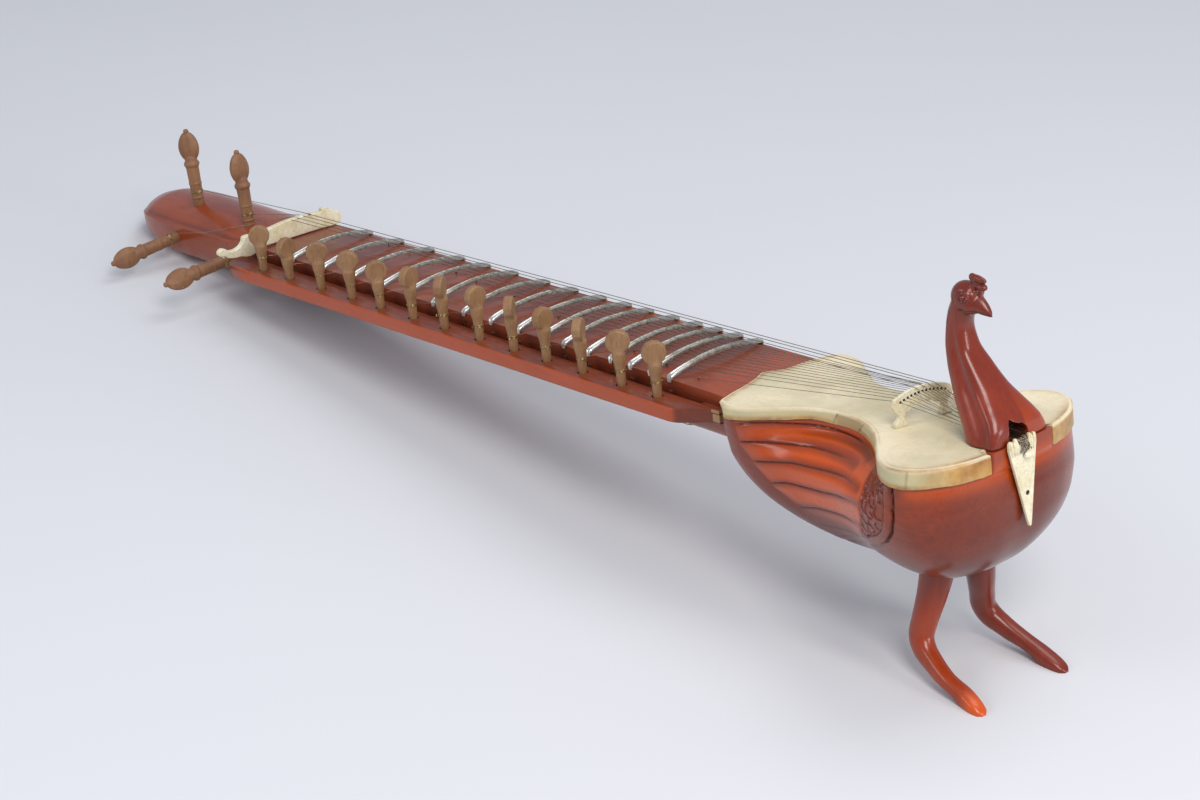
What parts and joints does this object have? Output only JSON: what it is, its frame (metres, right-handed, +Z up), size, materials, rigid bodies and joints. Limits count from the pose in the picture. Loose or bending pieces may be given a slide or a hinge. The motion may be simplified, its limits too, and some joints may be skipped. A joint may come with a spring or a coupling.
{
  "type": "bowed peacock lute",
  "caption": "Fretted long-necked bowed lute with a carved peacock body on two bird's legs, tied frets that slide, turning tuning pegs and taut strings.",
  "frame": {"origin": "middle of the object's footprint box on the floor it stands on, at z = 0 under the feet and the pegbox", "axes": "+X along the instrument from the pegbox to the peacock's breast, +Y across it away from the rail of small pegs, +Z up; the neck rises 8.31 degrees towards +X"},
  "size_m": [1.068, 0.202, 0.2891],
  "materials": {
    "carved_wood": "red-brown varnish over carved hardwood, glossy",
    "neck_wood": "red-brown stained wood, satin varnish",
    "peg_wood": "bare tan-brown turned wood, matt",
    "skin": "stretched parchment, semi-matt, amber at the glued edge",
    "ivory": "polished bone or ivory, satin",
    "fret_metal": "tarnished white metal",
    "string_wire": "tarnished steel wire"
  },
  "bodies": {
    "instrument": {"body_shell": "carved_wood", "soundboard_skin": "skin", "neck": "neck_wood", "peg_rail": "carved_wood", "nut": "ivory", "bridge": "ivory", "tailpiece": "ivory", "peacock_neck": "carved_wood", "leg_near": "carved_wood", "leg_far": "carved_wood", "low_string_01": "string_wire", "low_string_02": "string_wire", "low_string_03": "string_wire", "low_string_04": "string_wire", "low_string_05": "string_wire", "low_string_06": "string_wire", "low_string_07": "string_wire", "low_string_08": "string_wire", "low_string_09": "string_wire", "low_string_10": "string_wire", "low_string_11": "string_wire", "low_string_12": "string_wire", "low_string_13": "string_wire", "main_string_1": "string_wire", "main_string_2": "string_wire", "main_string_3": "string_wire", "main_string_4": "string_wire"},
    "fret_01": {"fret_01": "fret_metal"},
    "fret_02": {"fret_02": "fret_metal"},
    "fret_03": {"fret_03": "fret_metal"},
    "fret_04": {"fret_04": "fret_metal"},
    "fret_05": {"fret_05": "fret_metal"},
    "fret_06": {"fret_06": "fret_metal"},
    "fret_07": {"fret_07": "fret_metal"},
    "fret_08": {"fret_08": "fret_metal"},
    "fret_09": {"fret_09": "fret_metal"},
    "fret_10": {"fret_10": "fret_metal"},
    "fret_11": {"fret_11": "fret_metal"},
    "fret_12": {"fret_12": "fret_metal"},
    "fret_13": {"fret_13": "fret_metal"},
    "fret_14": {"fret_14": "fret_metal"},
    "fret_15": {"fret_15": "fret_metal"},
    "fret_16": {"fret_16": "fret_metal"},
    "peg_01": {"peg_01": "peg_wood"},
    "peg_02": {"peg_02": "peg_wood"},
    "peg_03": {"peg_03": "peg_wood"},
    "peg_04": {"peg_04": "peg_wood"},
    "peg_05": {"peg_05": "peg_wood"},
    "peg_06": {"peg_06": "peg_wood"},
    "peg_07": {"peg_07": "peg_wood"},
    "peg_08": {"peg_08": "peg_wood"},
    "peg_09": {"peg_09": "peg_wood"},
    "peg_10": {"peg_10": "peg_wood"},
    "peg_11": {"peg_11": "peg_wood"},
    "peg_12": {"peg_12": "peg_wood"},
    "peg_13": {"peg_13": "peg_wood"},
    "main_peg_a": {"main_peg_a": "peg_wood"},
    "main_peg_b": {"main_peg_b": "peg_wood"},
    "main_peg_c": {"main_peg_c": "peg_wood"},
    "main_peg_d": {"main_peg_d": "peg_wood"}
  },
  "joints": [
    {"name": "fret_01_slide", "type": "slide", "parent": "instrument", "child": "fret_01", "axis": [0.9895, 0, 0.1445], "range_m": [-0.0035, 0.0035]},
    {"name": "fret_02_slide", "type": "slide", "parent": "instrument", "child": "fret_02", "axis": [0.9895, 0, 0.1445], "range_m": [-0.0035, 0.0035]},
    {"name": "fret_03_slide", "type": "slide", "parent": "instrument", "child": "fret_03", "axis": [0.9895, 0, 0.1445], "range_m": [-0.0035, 0.0035]},
    {"name": "fret_04_slide", "type": "slide", "parent": "instrument", "child": "fret_04", "axis": [0.9895, 0, 0.1445], "range_m": [-0.0035, 0.0035]},
    {"name": "fret_05_slide", "type": "slide", "parent": "instrument", "child": "fret_05", "axis": [0.9895, 0, 0.1445], "range_m": [-0.0035, 0.0035]},
    {"name": "fret_06_slide", "type": "slide", "parent": "instrument", "child": "fret_06", "axis": [0.9895, 0, 0.1445], "range_m": [-0.0035, 0.0035]},
    {"name": "fret_07_slide", "type": "slide", "parent": "instrument", "child": "fret_07", "axis": [0.9895, 0, 0.1445], "range_m": [-0.0035, 0.0035]},
    {"name": "fret_08_slide", "type": "slide", "parent": "instrument", "child": "fret_08", "axis": [0.9895, 0, 0.1445], "range_m": [-0.0035, 0.0035]},
    {"name": "fret_09_slide", "type": "slide", "parent": "instrument", "child": "fret_09", "axis": [0.9895, 0, 0.1445], "range_m": [-0.0035, 0.0035]},
    {"name": "fret_10_slide", "type": "slide", "parent": "instrument", "child": "fret_10", "axis": [0.9895, 0, 0.1445], "range_m": [-0.0035, 0.0035]},
    {"name": "fret_11_slide", "type": "slide", "parent": "instrument", "child": "fret_11", "axis": [0.9895, 0, 0.1445], "range_m": [-0.0035, 0.0035]},
    {"name": "fret_12_slide", "type": "slide", "parent": "instrument", "child": "fret_12", "axis": [0.9895, 0, 0.1445], "range_m": [-0.0035, 0.0035]},
    {"name": "fret_13_slide", "type": "slide", "parent": "instrument", "child": "fret_13", "axis": [0.9895, 0, 0.1445], "range_m": [-0.0035, 0.0035]},
    {"name": "fret_14_slide", "type": "slide", "parent": "instrument", "child": "fret_14", "axis": [0.9895, 0, 0.1445], "range_m": [-0.0035, 0.0035]},
    {"name": "fret_15_slide", "type": "slide", "parent": "instrument", "child": "fret_15", "axis": [0.9895, 0, 0.1445], "range_m": [-0.0035, 0.0035]},
    {"name": "fret_16_slide", "type": "slide", "parent": "instrument", "child": "fret_16", "axis": [0.9895, 0, 0.1445], "range_m": [-0.0035, 0.0035]},
    {"name": "peg_01_turn", "type": "hinge", "parent": "instrument", "child": "peg_01", "pos_m": [-0.27619, -0.04096, 0.05274], "axis": [-0.1445, 0, 0.9895], "continuous": true},
    {"name": "peg_02_turn", "type": "hinge", "parent": "instrument", "child": "peg_02", "pos_m": [-0.23661, -0.04096, 0.05852], "axis": [-0.1445, 0, 0.9895], "continuous": true},
    {"name": "peg_03_turn", "type": "hinge", "parent": "instrument", "child": "peg_03", "pos_m": [-0.19011, -0.04096, 0.06531], "axis": [-0.1445, 0, 0.9895], "continuous": true},
    {"name": "peg_04_turn", "type": "hinge", "parent": "instrument", "child": "peg_04", "pos_m": [-0.14608, -0.04096, 0.07175], "axis": [-0.1445, 0, 0.9895], "continuous": true},
    {"name": "peg_05_turn", "type": "hinge", "parent": "instrument", "child": "peg_05", "pos_m": [-0.1065, -0.04096, 0.07753], "axis": [-0.1445, 0, 0.9895], "continuous": true},
    {"name": "peg_06_turn", "type": "hinge", "parent": "instrument", "child": "peg_06", "pos_m": [-0.06246, -0.04096, 0.08396], "axis": [-0.1445, 0, 0.9895], "continuous": true},
    {"name": "peg_07_turn", "type": "hinge", "parent": "instrument", "child": "peg_07", "pos_m": [-0.0214, -0.04096, 0.08996], "axis": [-0.1445, 0, 0.9895], "continuous": true},
    {"name": "peg_08_turn", "type": "hinge", "parent": "instrument", "child": "peg_08", "pos_m": [0.02313, -0.04096, 0.09646], "axis": [-0.1445, 0, 0.9895], "continuous": true},
    {"name": "peg_09_turn", "type": "hinge", "parent": "instrument", "child": "peg_09", "pos_m": [0.06518, -0.04096, 0.1026], "axis": [-0.1445, 0, 0.9895], "continuous": true},
    {"name": "peg_10_turn", "type": "hinge", "parent": "instrument", "child": "peg_10", "pos_m": [0.10427, -0.04096, 0.10831], "axis": [-0.1445, 0, 0.9895], "continuous": true},
    {"name": "peg_11_turn", "type": "hinge", "parent": "instrument", "child": "peg_11", "pos_m": [0.14583, -0.04096, 0.11438], "axis": [-0.1445, 0, 0.9895], "continuous": true},
    {"name": "peg_12_turn", "type": "hinge", "parent": "instrument", "child": "peg_12", "pos_m": [0.18937, -0.04096, 0.12074], "axis": [-0.1445, 0, 0.9895], "continuous": true},
    {"name": "peg_13_turn", "type": "hinge", "parent": "instrument", "child": "peg_13", "pos_m": [0.22825, -0.04096, 0.12642], "axis": [-0.1445, 0, 0.9895], "continuous": true},
    {"name": "main_peg_a_turn", "type": "hinge", "parent": "instrument", "child": "main_peg_a", "pos_m": [-0.44625, 0.00354, 0.04771], "axis": [-0.1938, 0, 0.981], "continuous": true},
    {"name": "main_peg_b_turn", "type": "hinge", "parent": "instrument", "child": "main_peg_b", "pos_m": [-0.35977, 0.00104, 0.05408], "axis": [-0.1987, 0, 0.9801], "continuous": true},
    {"name": "main_peg_c_turn", "type": "hinge", "parent": "instrument", "child": "main_peg_c", "pos_m": [-0.44182, -0.02596, 0.0243], "axis": [0.0144, -0.995, -0.0985], "continuous": true},
    {"name": "main_peg_d_turn", "type": "hinge", "parent": "instrument", "child": "main_peg_d", "pos_m": [-0.34369, -0.03156, 0.03742], "axis": [0.0101, -0.9976, -0.0691], "continuous": true}
  ]
}
